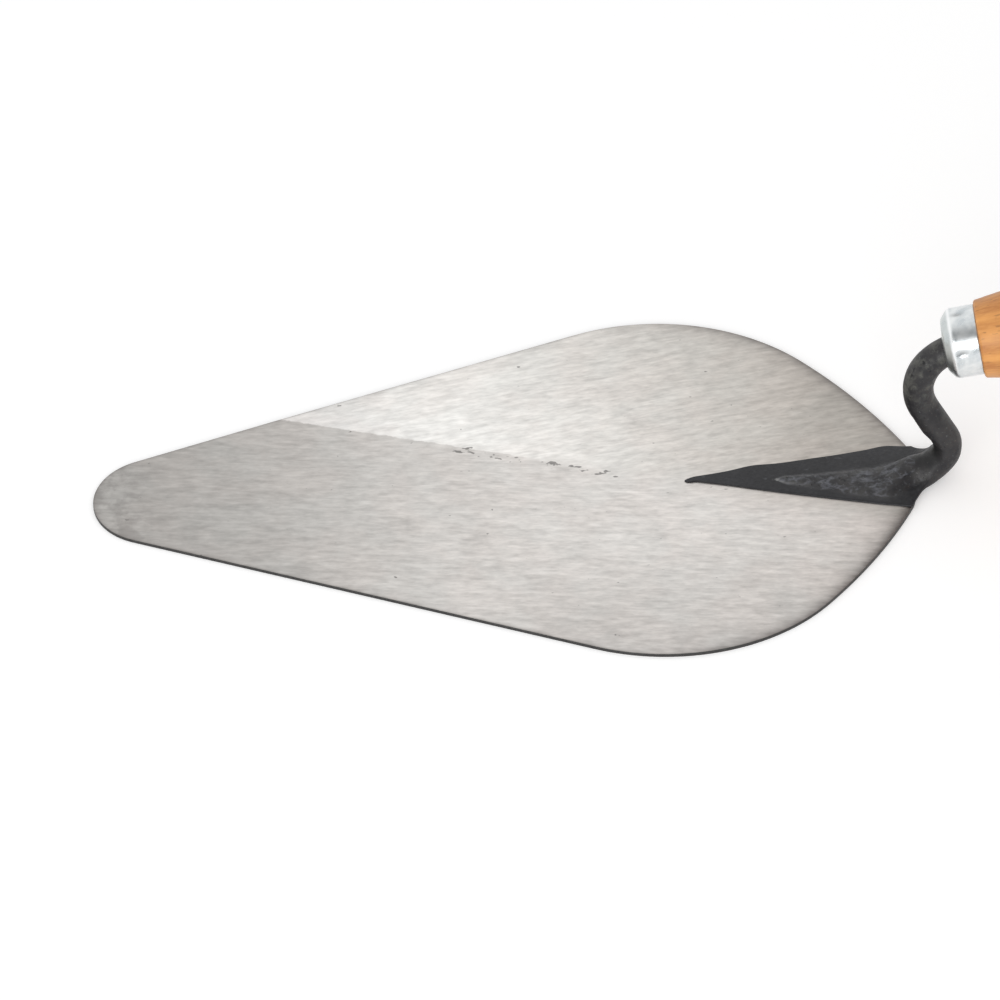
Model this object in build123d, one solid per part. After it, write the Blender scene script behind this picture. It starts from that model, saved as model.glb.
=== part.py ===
from build123d import *
from math import acos, asin, atan2, cos, radians, sin, sqrt, tan
import os

# Brick trowel: a ground steel blade, a forged shank with a swan neck, a zinc-plated ferrule
# and a turned wooden handle. Millimetres and degrees.
#
# +X runs from the tip of the blade to the butt of the handle, +Y to the left of that way,
# +Z up. The origin lies on the blade's flat underside, on its centre line, beneath the widest
# station. The blade lies flat on the plane Z = 0.

# ---- blade ----------------------------------------------------------------------------------
BLADE_LENGTH = 240.0        # tip to heel
BLADE_WIDTH = 150.6         # across the widest station
TIP_RADIUS = 19.0
SHOULDER_SETBACK = 74.0     # from the widest station to the heel
SHOULDER_RADIUS = 60.0      # round the widest station
BACK_RADIUS = 166.0         # from the shoulder in to the heel
HEEL_WIDTH = 26.0
ROOT_THICKNESS = 1.6        # under the point of the shank's foot
EDGE_THICKNESS = 1.2        # at both edges of the widest station
TIP_THICKNESS = 1.1
RIDGE_ANGLE = 15.9          # between the centre line and the ridge where the two facets meet

# ---- shank ----------------------------------------------------------------------------------
FOOT_LENGTH = 66.0          # from the foot's point to the heel
FOOT_NOSE = 4.0             # how far the foot reaches behind the heel, where it meets the bar
FOOT_POINT_HEIGHT = 0.5     # above the thickness of the blade's root, at the point
FOOT_SIDE_HEIGHT = 0.6      # the same, at the corners of the heel
FOOT_NOSE_HEIGHT = 2.6      # the same, along the middle at the nose
RIB_LENGTH = 40.0           # from the rib's point to the heel
RIB_POINT_RADIUS = 1.4
NECK_DIAMETER = 8.9
NECK_START = 0.2            # from the heel back to the start of the round bar
NECK_RUN = 1.5              # straight bar before the lower bend
NECK_LOWER_RADIUS = 7.5     # on the centre line
NECK_LEAN = 29.4            # how far the neck's middle leg leans forward of upright
NECK_UPPER_RADIUS = 15.3    # on the centre line
NECK_ENTRY_RISE = 24.4      # slope of the bar where it goes into the ferrule
NECK_JOIN = 9.2             # from the ferrule's front to where that slope meets the handle's axis
NECK_JOIN_RADIUS = 30.0     # of the gentle bend there
NECK_ENTRY = 16.0           # how far the round bar reaches behind the ferrule's front
TANG_LENGTH = 80.0          # the square spike inside the handle
TANG_ROOT = 6.2
TANG_POINT = 3.2

# ---- ferrule and handle ---------------------------------------------------------------------
FERRULE_SETBACK = 6.6       # from the heel back to the middle of the ferrule's front
FERRULE_HEIGHT = 49.3       # of that middle above the blade's underside
HANDLE_RISE = 10.0          # slope of the handle above the plane of the blade
FERRULE_DIAMETER = 20.5
FERRULE_LENGTH = 10.6
FERRULE_WALL = 0.9
FERRULE_ROUND = 2.6         # outside radius between the skirt and the front
FERRULE_CROWN = 0.9         # how far the middle of the front stands proud of its rim
STAKE_COUNT = 5             # punched dimples that lock the ferrule to the wood
STAKE_RADIUS = 1.8          # of the punch
STAKE_DEPTH = 0.45
STAKE_SETBACK = 5.4         # from the ferrule's front
HANDLE_LENGTH = 128.0       # from the ferrule's rear edge to the butt
SHOULDER_DIAMETER = 22.8
SHOULDER_ROUND = 1.5
SHOULDER_FLARE = 10.0       # how steeply the wood widens behind the shoulder, in degrees
SWELL_DIAMETER = 31.0
SWELL_AT = 52.0             # from the ferrule's rear edge
WAIST_DIAMETER = 27.5
WAIST_AT = 94.0
BUTT_DIAMETER = 31.0
BUTT_AT = 117.0

# ---- clearances -----------------------------------------------------------------------------
TANG_CLEARANCE = 0.25       # all round the bar and the spike in the ferrule and the handle
TENON_CLEARANCE = 0.05      # all round the tenon in the ferrule
TANG_END_GAP = 2.0          # beyond the point of the spike

# ---- worked out -----------------------------------------------------------------------------
HEEL_X = SHOULDER_SETBACK
TIP_X = HEEL_X - BLADE_LENGTH
FOOT_POINT_X = HEEL_X - FOOT_LENGTH
NECK_RADIUS = NECK_DIAMETER / 2
FERRULE_RADIUS = FERRULE_DIAMETER / 2
FERRULE_BORE = FERRULE_RADIUS - FERRULE_WALL
HANDLE_DIRECTION = Vector(cos(radians(HANDLE_RISE)), 0, sin(radians(HANDLE_RISE)))
FERRULE_FRONT = Vector(HEEL_X + FERRULE_SETBACK, 0, FERRULE_HEIGHT)
BLADE_BLANK = 2 * ROOT_THICKNESS    # thickness of the plate before it is ground
FOOT_BLANK = 4 * ROOT_THICKNESS     # height of the foot's block before its roof is cut
BIG = 4 * BLADE_LENGTH      # larger than the whole part


def along_handle(distance):
    """A plane square to the handle, this far behind the ferrule's front."""
    return Plane(
        origin=FERRULE_FRONT + HANDLE_DIRECTION * distance,
        x_dir=(0, 1, 0),
        z_dir=HANDLE_DIRECTION,
    )


def above(a, b, c):
    """Everything above the plane through three points that run anticlockwise."""
    plane = Plane(origin=a, x_dir=b - a, z_dir=(b - a).cross(c - a))
    return plane * Pos(0, 0, BIG / 2) * Box(BIG, BIG, BIG)


def blade_outline():
    """Half of the outline, from the tip back along the +Y side to the heel."""
    tip_centre = Vector(TIP_X + TIP_RADIUS, 0)
    shoulder_centre = Vector(0, BLADE_WIDTH / 2 - SHOULDER_RADIUS)
    heel = Vector(HEEL_X, HEEL_WIDTH / 2)
    # The straight flank touches the tip circle and the shoulder circle.
    across = shoulder_centre - tip_centre
    flank = atan2(across.Y, across.X) + asin((SHOULDER_RADIUS - TIP_RADIUS) / across.length)
    flank_normal = Vector(-sin(flank), cos(flank))
    flank_start = tip_centre + flank_normal * TIP_RADIUS
    flank_end = shoulder_centre + flank_normal * SHOULDER_RADIUS
    # The back arc touches the shoulder circle from outside and ends at the heel.
    to_heel = heel - shoulder_centre
    gap = BACK_RADIUS - SHOULDER_RADIUS
    bearing = acos(
        (gap**2 + to_heel.length**2 - BACK_RADIUS**2) / (2 * gap * to_heel.length)
    )
    away = atan2(to_heel.Y, to_heel.X) - bearing
    back_centre = shoulder_centre + Vector(cos(away), sin(away)) * gap
    back_start = shoulder_centre - Vector(cos(away), sin(away)) * SHOULDER_RADIUS
    half_way = (back_start + heel) / 2 - back_centre
    back_middle = back_centre + half_way.normalized() * BACK_RADIUS
    tip_bearing = (flank_normal + Vector(-1, 0)).normalized()
    return [
        ThreePointArc((TIP_X, 0), tip_centre + tip_bearing * TIP_RADIUS, flank_start),
        Line(flank_start, flank_end),
        ThreePointArc(flank_end, (0, BLADE_WIDTH / 2), back_start),
        ThreePointArc(back_start, back_middle, heel),
        Line(heel, (HEEL_X, 0)),
    ]


def make_blade():
    """A flat-bottomed plate whose top is ground as two facets that meet in a slanting ridge."""
    half = Face(Wire([*blade_outline(), Line((HEEL_X, 0), (TIP_X, 0))]))
    plate = extrude(half, BLADE_BLANK, dir=(0, 0, 1))
    plate = plate + mirror(plate, about=Plane.XZ)
    root = Vector(FOOT_POINT_X, 0, ROOT_THICKNESS)
    tip = Vector(TIP_X, 0, TIP_THICKNESS)
    right_edge = Vector(0, -BLADE_WIDTH / 2, EDGE_THICKNESS)
    left_edge = Vector(0, BLADE_WIDTH / 2, EDGE_THICKNESS)
    right_facet = above(root, tip, right_edge)
    # The ridge lies in the right facet and runs out to the left flank.
    normal = (tip - root).cross(right_edge - root)
    run = Vector(-cos(radians(RIDGE_ANGLE)), sin(radians(RIDGE_ANGLE)))
    fall = -(normal.X * run.X + normal.Y * run.Y) / normal.Z
    ridge = root + Vector(run.X, run.Y, fall) * FOOT_LENGTH
    left_facet = above(root, left_edge, ridge)
    return plate - right_facet - left_facet


def foot_outline():
    nose_x = HEEL_X + FOOT_NOSE
    return Polyline(
        (FOOT_POINT_X, 0),
        (HEEL_X, -HEEL_WIDTH / 2),
        (nose_x, -NECK_RADIUS),
        (nose_x, NECK_RADIUS),
        (HEEL_X, HEEL_WIDTH / 2),
        close=True,
    )


def neck_path():
    """The bar's centre line: back from the foot, up the leaning leg and into the handle."""
    start = Vector(HEEL_X + NECK_START, 0, NECK_RADIUS)
    lean = radians(NECK_LEAN)
    leg = Vector(-sin(lean), 0, cos(lean))
    bend_tangent = NECK_LOWER_RADIUS * tan((radians(90) + lean) / 2)
    low_corner = start + Vector(NECK_RUN + bend_tangent, 0, 0)
    rise = radians(NECK_ENTRY_RISE)
    entry = Vector(cos(rise), 0, sin(rise))
    join = FERRULE_FRONT + HANDLE_DIRECTION * NECK_JOIN
    # Where the leg's line crosses the line of entry.
    gap = join - low_corner
    reach = (gap.X * entry.Z - gap.Z * entry.X) / (leg.X * entry.Z - leg.Z * entry.X)
    high_corner = low_corner + leg * reach
    end = FERRULE_FRONT + HANDLE_DIRECTION * NECK_ENTRY
    radii = [NECK_LOWER_RADIUS, NECK_UPPER_RADIUS, NECK_JOIN_RADIUS]
    return FilletPolyline(start, low_corner, high_corner, join, end, radius=radii)


def neck_bar(clearance=0.0):
    path = neck_path()
    section = Plane(origin=path @ 0, z_dir=path % 0) * Circle(NECK_RADIUS + clearance)
    return sweep(section, path=path)


def spike(clearance=0.0, end_gap=0.0):
    """The square tapering end of the shank, as it is or as the hole that it fits."""
    root = along_handle(NECK_ENTRY) * Rectangle(
        TANG_ROOT + 2 * clearance, TANG_ROOT + 2 * clearance
    )
    point = along_handle(NECK_ENTRY + TANG_LENGTH + end_gap) * Rectangle(
        TANG_POINT + 2 * clearance, TANG_POINT + 2 * clearance
    )
    return loft([root, point])


def make_foot(blade):
    """A low roof on top of the blade, with a rib along it that grows into the round neck."""
    foot = extrude(Face(foot_outline()), FOOT_BLANK, dir=(0, 0, 1))
    point = Vector(FOOT_POINT_X, 0, ROOT_THICKNESS + FOOT_POINT_HEIGHT)
    nose = Vector(HEEL_X + FOOT_NOSE, 0, ROOT_THICKNESS + FOOT_NOSE_HEIGHT)
    left = Vector(HEEL_X, HEEL_WIDTH / 2, ROOT_THICKNESS + FOOT_SIDE_HEIGHT)
    right = Vector(HEEL_X, -HEEL_WIDTH / 2, ROOT_THICKNESS + FOOT_SIDE_HEIGHT)
    foot = foot - above(point, right, nose) - above(point, nose, left)
    rib_start = Vector(HEEL_X - RIB_LENGTH, 0, ROOT_THICKNESS)
    rib_end = Vector(HEEL_X + NECK_START, 0, NECK_RADIUS)
    rib_axis = rib_end - rib_start
    rib_sections = [
        Plane(origin=rib_start, z_dir=rib_axis) * Circle(RIB_POINT_RADIUS),
        Plane(origin=rib_end, z_dir=(1, 0, 0)) * Circle(NECK_RADIUS),
    ]
    rib = loft(rib_sections, ruled=True)
    underground = Pos(0, 0, -BIG / 2) * Box(BIG, BIG, BIG)
    return foot + rib - underground - blade


def make_shank(blade):
    return make_foot(blade) + neck_bar() + spike()


def stake(radius):
    """One punch mark's ball, on the ferrule's skirt."""
    lift = FERRULE_RADIUS + STAKE_RADIUS - STAKE_DEPTH
    return Pos(lift, 0, STAKE_SETBACK) * Sphere(radius)


def stakes(radius):
    """The ring of them, with the first at the top."""
    return [Rot(0, 0, 90 + 360 * i / STAKE_COUNT) * stake(radius) for i in range(STAKE_COUNT)]


def crowned_end(inset):
    """The ferrule's front in half section, as a line set this far inside its outer surface."""
    radius = FERRULE_RADIUS - inset
    corner = FERRULE_ROUND - inset
    rim = (radius, FERRULE_CROWN + FERRULE_ROUND)
    corner_centre = Vector(FERRULE_RADIUS - FERRULE_ROUND, FERRULE_CROWN + FERRULE_ROUND)
    # The crown is an arc about a point on the axis that touches the corner's arc.
    reach = corner_centre.X
    depth = FERRULE_CROWN + FERRULE_ROUND
    crown = (reach**2 + depth**2 - FERRULE_ROUND**2) / (2 * FERRULE_CROWN)
    crown_centre = Vector(0, crown)
    toward_corner = (corner_centre - crown_centre).normalized()
    meeting = corner_centre + toward_corner * corner
    half_way = (toward_corner + Vector(1, 0)).normalized()
    toward_middle = (toward_corner + Vector(0, -1)).normalized()
    return [
        ThreePointArc(
            (0, inset), crown_centre + toward_middle * (crown - inset), meeting
        ),
        ThreePointArc(meeting, corner_centre + half_way * corner, rim),
    ]


def revolved(profile):
    """A half section, as (radius, distance behind the ferrule's front), spun about its axis."""
    return revolve(Plane.XZ * Face(Wire(profile)), Axis.Z)


def make_ferrule():
    """A drawn cup: the neck comes through its front, and its skirt holds the tenon."""
    rear = FERRULE_LENGTH
    corner_end = FERRULE_CROWN + FERRULE_ROUND
    cup = revolved([
        *crowned_end(0),
        Line((FERRULE_RADIUS, corner_end), (FERRULE_RADIUS, rear)),
        Line((FERRULE_RADIUS, rear), (FERRULE_BORE, rear)),
        Line((FERRULE_BORE, rear), (FERRULE_BORE, corner_end)),
        *crowned_end(FERRULE_WALL),
        Line((0, 0), (0, FERRULE_WALL)),
    ])
    solid = extrude(Circle(FERRULE_RADIUS), FERRULE_LENGTH)
    bumps = Part() + [ball & solid for ball in stakes(STAKE_RADIUS + FERRULE_WALL)]
    return along_handle(0) * (cup + bumps - stakes(STAKE_RADIUS)) - neck_bar(TANG_CLEARANCE)


def handle_profile():
    """Half section of the wood, as (radius, distance behind the ferrule's front face)."""
    inset = FERRULE_WALL + TENON_CLEARANCE
    tenon_radius = FERRULE_RADIUS - inset
    rear = FERRULE_LENGTH
    shoulder = SHOULDER_DIAMETER / 2
    rounded = (shoulder, rear + SHOULDER_ROUND)
    corner = SHOULDER_ROUND * (1 - sqrt(0.5))
    butt = (BUTT_DIAMETER / 2, rear + BUTT_AT)
    end = (0, rear + HANDLE_LENGTH)
    return [
        *crowned_end(inset),
        Line((tenon_radius, FERRULE_CROWN + FERRULE_ROUND), (tenon_radius, rear)),
        Line((tenon_radius, rear), (shoulder - SHOULDER_ROUND, rear)),
        ThreePointArc(
            (shoulder - SHOULDER_ROUND, rear), (shoulder - corner, rear + corner), rounded
        ),
        Spline(
            rounded,
            (SWELL_DIAMETER / 2, rear + SWELL_AT),
            (WAIST_DIAMETER / 2, rear + WAIST_AT),
            butt,
            tangents=[(tan(radians(SHOULDER_FLARE)), 1), (0, 1)],
        ),
        Spline(butt, end, tangents=[(0, 1), (-1, 0)]),
        Line(end, (0, inset)),
    ]


def make_handle():
    """Turned wood, with a tenon for the ferrule and a hole for the tang."""
    turned = revolved(handle_profile())
    turned = turned - stakes(STAKE_RADIUS + FERRULE_WALL + TENON_CLEARANCE)
    turned = along_handle(0) * turned
    return turned - neck_bar(TANG_CLEARANCE) - spike(TANG_CLEARANCE, TANG_END_GAP)


def main():
    os.makedirs("parts", exist_ok=True)
    blade = make_blade()
    nodes = {
        "blade": blade,
        "shank": make_shank(blade),
        "ferrule": make_ferrule(),
        "handle": make_handle(),
    }
    for name, shape in nodes.items():
        export_step(shape, f"parts/{name}.step")
        size = shape.bounding_box()
        print(name, len(shape.solids()), round(shape.volume), size.min, size.max)


main()
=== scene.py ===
from math import acos, asin, atan2, cos, exp, pi, radians, sin, sqrt, tan

import bmesh
import bpy
from mathutils import Matrix, Vector, noise


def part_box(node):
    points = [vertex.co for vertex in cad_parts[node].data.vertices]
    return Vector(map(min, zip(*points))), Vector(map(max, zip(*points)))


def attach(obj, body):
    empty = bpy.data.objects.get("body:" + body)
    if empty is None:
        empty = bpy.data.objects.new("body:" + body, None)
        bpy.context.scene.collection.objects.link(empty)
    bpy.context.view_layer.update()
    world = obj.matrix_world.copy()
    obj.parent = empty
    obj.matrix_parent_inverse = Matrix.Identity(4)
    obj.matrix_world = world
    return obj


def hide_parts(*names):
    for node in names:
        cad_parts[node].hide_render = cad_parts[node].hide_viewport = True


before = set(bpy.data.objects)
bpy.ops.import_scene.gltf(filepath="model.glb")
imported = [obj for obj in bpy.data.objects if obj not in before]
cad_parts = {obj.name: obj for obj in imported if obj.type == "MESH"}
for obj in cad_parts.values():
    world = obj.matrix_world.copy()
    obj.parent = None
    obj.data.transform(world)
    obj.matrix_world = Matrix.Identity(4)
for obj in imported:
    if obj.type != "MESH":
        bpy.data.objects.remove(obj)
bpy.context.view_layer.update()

# Brick trowel. Every length is in metres, in the part's own frame: +X from the blade's tip to the
# butt of the handle, +Y to the left, +Z up, and the blade's underside on Z = 0.

MM = 0.001

# ---- places read from the frame
BLADE_LOW, BLADE_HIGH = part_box("blade")
SHANK_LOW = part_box("shank")[0]
TIP_X = BLADE_LOW.x
HEEL_X = BLADE_HIGH.x
HALF_WIDTH = BLADE_HIGH.y
FOOT_POINT_LEAD = 1.6 * MM  # the drawn point runs out thinner and further than the CAD one
FOOT_POINT_X = SHANK_LOW.x - FOOT_POINT_LEAD
FOOT_LENGTH = HEEL_X - FOOT_POINT_X

# ---- the blade's outline and facets
TIP_RADIUS = 19 * MM
SHOULDER_RADIUS = 60 * MM
BACK_RADIUS = 185 * MM
TIP_CENTRE = Vector((TIP_X + TIP_RADIUS, 0))
SHOULDER_CENTRE = Vector((0, HALF_WIDTH - SHOULDER_RADIUS))
HEEL_CORNER = Vector((HEEL_X - 1.2 * MM, 13.4 * MM))
HEEL_BOW = 4  # how squarely the heel's end runs into its corners
ROOT_THICKNESS = 1.6 * MM
EDGE_THICKNESS = 1.2 * MM
TIP_THICKNESS = 1.1 * MM
RIDGE_SLOPE = tan(radians(16.5))
RIDGE_LENGTH = 119.4 * MM  # along X, from the foot's point to the flank
RIDGE_ROUND = 0.8 * MM  # how far each side of the ridge the two facets blend
EDGE_ROUND = 0.15 * MM
EDGE_LIP = 0.12 * MM  # height of the first ring of points above the underside
PITTED = (-62 * MM, -12 * MM)  # the stretch, in X, where pits lie beside the ridge
PITTED_ASIDE = 1.6 * MM  # how far to the ridge's right they are thickest
ROLLED_RIM = 5 * MM  # width of the edge that is worn down round the back
ROLLED_DROP = 0.25 * MM
ROLLED_FROM = (5 * MM, 45 * MM)  # the stretch, in X, over which that wear sets in
RIM_REACH = 2.1 * MM  # how far in from that edge the painted shade reaches
RIM_FROM = (-30 * MM, 40 * MM)
EDGE_SHADE_REACH = 0.45 * MM  # how far in the painted shade along the cut edge goes
# the painted shade line's share right at the edge
EDGE_SHADE_SHARE = 0.7
# Depth and size of the shallow hollows that the grinding left, and each one's noise seed.
HOLLOWS = ((0.03 * MM, 26 * MM, 3), (0.012 * MM, 8 * MM, 5))
HOLLOW_MARGIN = 3 * MM

# ---- the blade's mesh
OUTLINE_STEP = 1.3 * MM
HEEL_STEPS = 16
UNDERSIDE_RINGS = 12
TOP_RINGS = 46
RING_STEPS = (0.0, 0.04, 0.09, 0.16, 0.24, 0.32, 0.6, 1.0, 1.6, 2.4, 3.3, 4.3, 5.5)
RING_INSETS = [step * MM for step in RING_STEPS]
SPINE_TIP_SHARE = 0.8  # of the tip's radius: where the rings' middle line starts
SPINE_HEEL_GAP = 10 * MM  # and how far before the heel it ends

# ---- the shank: the bar
NECK_RADIUS = 4.45 * MM
NECK_START = 1.7 * MM
NECK_LOWER_RADIUS = 7.5 * MM
NECK_LEAN = radians(29.4)
NECK_UPPER_RADIUS = 15.3 * MM
NECK_ENTRY_RISE = radians(24.4)
NECK_JOIN = 9.2 * MM
NECK_JOIN_RADIUS = 30 * MM
NECK_ENTRY = 16 * MM
NECK_THINNING = 0.55 * MM  # how much flatter the bar's top is where it enters the ferrule
THINNING_REACH = (10 * MM, 1 * MM)  # distance before the ferrule's front: none, and all of it
TANG_ROOT = 3.1 * MM  # half sizes of the square spike
TANG_POINT = 1.6 * MM
TANG_LENGTH = 80 * MM
SHANK_STEP = 0.4 * MM
SHANK_AROUND = 96
TANG_SKIP = 4  # the plain spike needs only every fourth section
FOOT_TIP_CUT = 0.3 * MM  # the mesh starts this far behind the foot's mathematical point

# ---- the shank: the foot
FOOT_RIM = 0.5 * MM  # height of the foot's edge above the blade
FOOT_CROWN = 0.5 * MM  # extra height along the middle of the heel
FOOT_SINK = 0.02 * MM  # how far the foot is pressed into the blade
FOOT_EDGE_POWER = 90  # how sharply the foot's top turns down at its edge
FOOT_POINT_RADIUS = 0.45 * MM
LEFT_SPREAD = 0.213  # how fast the foot's left side widens from its point
LEFT_LEAN = 0.5 * MM
LEFT_LIMIT = (13.0 * MM, 2.2 * MM)  # widest, and how softly that is reached
RIGHT_SPREAD = 0.2425
RIGHT_LEAN = -0.45 * MM
RIGHT_LIMIT = (15.6 * MM, 1.5 * MM)
# The left side's uneven edge: distance from the point, height and spread of each swelling.
LEFT_WAVES = (
    (20.5 * MM, 1.1 * MM, 6 * MM),
    (45 * MM, -0.25 * MM, 6 * MM),
    (60 * MM, 0.95 * MM, 4.5 * MM),
)
LEFT_FUNNEL = (0.0, 15 * MM, 2)  # start behind the heel, length and power of the closing curve
RIGHT_FUNNEL = (-1.7 * MM, 12.5 * MM, 3)
ROUNDING = (-1 * MM, 9 * MM)  # behind the heel: where the foot's section turns into the round bar's
RIB_START = 27 * MM  # from the foot's point
RIB_LENGTH = 40 * MM
RIB_CREST = -1.2 * MM  # where the rib's crest runs, left of the middle
RIB_NOSE_LENGTH = 2.5 * MM
RIB_NOSE_HEIGHT = 1.25 * MM
RIB_REAR_HEIGHT = 2.1 * MM
RIB_FILLET = 4.9 * MM  # how much higher the rib climbs as it turns into the neck
RIB_LEFT_REACH = (1.1 * MM, 4.6 * MM)  # half widths at the nose and at the rear
RIB_RIGHT_REACH = (1.4 * MM, 14 * MM)
RIB_NECK_REACH = 6 * MM  # the half width that both sides come to at the neck
RIB_ROUNDNESS = 2.2
RIB_BLEND = 0.2 * MM  # how softly the rib rises from the strip beside it

# ---- the shank: its hammered surface, as (depth, size, noise seed)
DENTS = ((0.10 * MM, 5 * MM, 11), (0.10 * MM, 9 * MM, 13))
SCALE_PITS = ((0.035 * MM, 1.1 * MM, 7), (0.02 * MM, 0.5 * MM, 9))
HAMMER_MARKS = ((0.2 * MM, 3.2 * MM, 17), (0.12 * MM, 1.6 * MM, 19))
FOLD_REACH = (3.6 * MM, 6.4 * MM)  # the crease inside the neck's lower bend, from its centre
FOLD_DEPTH = 0.5 * MM
NECK_FROM_Z = 9 * MM  # anything of the shank above this belongs to the neck
PLAIN_FROM = (2 * MM, 20 * MM)  # so far behind the ferrule's front, and above this, nothing is hammered

# ---- the ferrule
HANDLE_RISE = radians(10)
FERRULE_SETBACK = 6.6 * MM
FERRULE_HEIGHT = 49.3 * MM
NECK_HALFWAY = FERRULE_HEIGHT / 2  # above this the bar's line is nearer the ferrule than the blade
FERRULE_RADIUS = 10.25 * MM
FERRULE_LENGTH = 10.6 * MM
FERRULE_WALL = 0.9 * MM
FERRULE_ROUND = 2.6 * MM
FERRULE_LIP = 0.25 * MM
BEVEL_FRONT = (7.4 * MM, 0.5 * MM)  # radius, and distance behind the front
BEVEL_REAR = (10.25 * MM, 2.9 * MM)
BEVEL_ROUNDS = [3.0 * MM, 2.2 * MM]
RIM_BEHIND = 3.0 * MM  # where the painted highlight ring lies that ends the rounded front
RIM_SPREAD = 0.38 * MM
STAKE_COUNT = 5
STAKE_SETBACK = 5.4 * MM
STAKE_DEPTH = 0.4 * MM
STAKE_SPREAD = 0.55 * MM
STAKE_LENGTHENING = 2  # the dimples are twice as long as they are wide
PLATE_WOBBLE = (0.025 * MM, 5 * MM, 21)
NECK_HOLE_CLEARANCE = 0.12 * MM
NECK_HOLE_REACH = 6 * MM  # how far before and behind the front the cutter runs

# ---- the handle
SHOULDER_RADIUS_WOOD = 11.4 * MM
SHOULDER_ROUND = 1.0 * MM
SHOULDER_FLARE = tan(radians(10))
HANDLE_LENGTH = 128 * MM
SWELL = (52 * MM, 15.5 * MM)  # distance from the ferrule's rear edge, and radius
SWELL_SLOPE = 0.012
WAIST = (94 * MM, 13.75 * MM)
BUTT = (117 * MM, 15.5 * MM)
BUTT_SQUARENESS = 2.6  # 2 would be a plain ellipse
TENON_CLEARANCE = 0.05 * MM
HANDLE_MOUTH = 6.9 * MM  # radius of the hole in the front of the wood
BORE_NECK = (4.7 * MM, NECK_ENTRY - 2 * MM)
BORE_END_RADIUS = 2.5 * MM
BORE_END_GAP = 2 * MM
TURNING_DEPTH = 0.012 * MM
TURNING_PITCH = 0.55 * MM  # one radian of the tool's rings
WOOD_WOBBLE = (0.05 * MM, 22 * MM, 31)

HANDLE_DIRECTION = Vector((cos(HANDLE_RISE), 0, sin(HANDLE_RISE)))
HANDLE_UP = Vector((-sin(HANDLE_RISE), 0, cos(HANDLE_RISE)))
FERRULE_FRONT = Vector((HEEL_X + FERRULE_SETBACK, 0, FERRULE_HEIGHT))

# ---- the camera: a long lens, a little over a metre and a half away
VIEW_ELEVATION = radians(40)
VIEW_YAW = radians(1.1352)
VIEW_ROLL = radians(-1.1533)
VIEW_DISTANCE = 1.6565
LENS = 204.4  # for a sensor 36 mm wide
SENSOR = 36
AIM_ALONG = 0.4945  # share of the blade's length, from the tip
AIM_ASIDE = -3.85 * MM

# ---- colours of the steel; the facets' colours hold painted reflection over the steel's grey
RIGHT_TIP = (0.45, 0.435, 0.42, 1)
RIGHT_FRONT = (0.73, 0.705, 0.685, 1)
RIGHT_HEEL = (0.66, 0.62, 0.595, 1)
RIGHT_FLANK = (0.50, 0.48, 0.465, 1)
LEFT_TIP = (0.78, 0.765, 0.755, 1)
LEFT_FRONT = (0.93, 0.915, 0.895, 1)
LEFT_REAR = (0.50, 0.465, 0.43, 1)
LEFT_HEEL = (0.36, 0.335, 0.31, 1)
LEFT_FLANK = (0.50, 0.475, 0.445, 1)
WARM_TINT = (1.0, 0.985, 0.97, 1)
COOL_TINT = (0.985, 0.99, 0.98, 1)
SMUDGE = (0.33, 0.32, 0.31, 1)
WORN_TIP = (0.25, 0.235, 0.225, 1)
# Painted shade along the blade's rim.
RIM_SHADE = (0.12, 0.105, 0.10, 1)
PIT_SHADE = (0.12, 0.115, 0.11, 1)
EDGE_DARK = (0.025, 0.025, 0.025, 1)
EDGE_LIGHT = (0.09, 0.087, 0.085, 1)

# ---- colours of the forging
FOOT_DARK = (0.006, 0.006, 0.008, 1)
FOOT_LIGHT = (0.013, 0.013, 0.016, 1)
RIB_DARK = (0.013, 0.0125, 0.015, 1)
RIB_LIGHT = (0.030, 0.028, 0.029, 1)
# Grey of scuffed scale, also painted highlight along the rib's crest.
SCUFF_AND_HIGHLIGHT = (0.15, 0.156, 0.172, 1)
# Painted highlight round the rib's nose.
NOSE_HIGHLIGHT = (0.27, 0.27, 0.27, 1)
# Lighter scuffs on the neck, also painted highlight high up.
NECK_SCUFF_AND_HIGHLIGHT = (0.10, 0.10, 0.088, 1)
SPECK = (0.17, 0.175, 0.17, 1)
HOLE = (0.004, 0.004, 0.005, 1)
HOLLOW_RIM = (0.15, 0.155, 0.18, 1)
# Painted shade in the crease of the neck's lower bend.
CREASE_SHADE = (0.004, 0.004, 0.004, 1)

# ---- colours of the plating and the wood
PLATE_DULL = (0.56, 0.60, 0.62, 1)
PLATE_CLEAR = (0.84, 0.86, 0.86, 1)
PLATE_FRONT = (0.52, 0.56, 0.55, 1)
# Painted highlight along the ferrule's ring.
RING_HIGHLIGHT = (0.97, 0.98, 0.98, 1)
# Painted shade inside the ferrule's dimples.
DIMPLE_SHADE = (0.2, 0.2, 0.2, 1)
WOOD_DARK = (0.50, 0.185, 0.042, 1)
WOOD_LIGHT = (0.76, 0.345, 0.095, 1)
WOOD_RING = (0.42, 0.15, 0.04, 1)
WOOD_FLECK = (0.27, 0.10, 0.03, 1)
WOOD_SHEEN = (0.86, 0.44, 0.14, 1)

NOISE_SPAN = (0.32, 0.68)  # the values that most of a noise pattern lies between

# ---- the studio
FLOOR_SIZE = 6.0
FLOOR_CELLS = 24
WHITE = (1, 1, 1, 1)
PAPER = (0.86, 0.86, 0.86, 1)
PAPER_GLOW = 0.28  # lifts the paper to white for the eye and in reflections
SKY_LEVEL = 0.72  # the light from all round
ROOM_DIRECTION = (0, -0.77, 0.64)  # towards the photographer
ROOM_EDGE = 0.45  # cosine of the angle from there at which the room ends
ROOM_LEVEL = 0.25  # how bright the middle of the room is in reflections
KEY_PLACE = (-0.5, -1.9, 0.9)
KEY_TARGET = (0, 0, 0.02)
KEY_SIZE = (2.0, 1.2)
KEY_POWER = 20


# ======== small helpers

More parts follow.
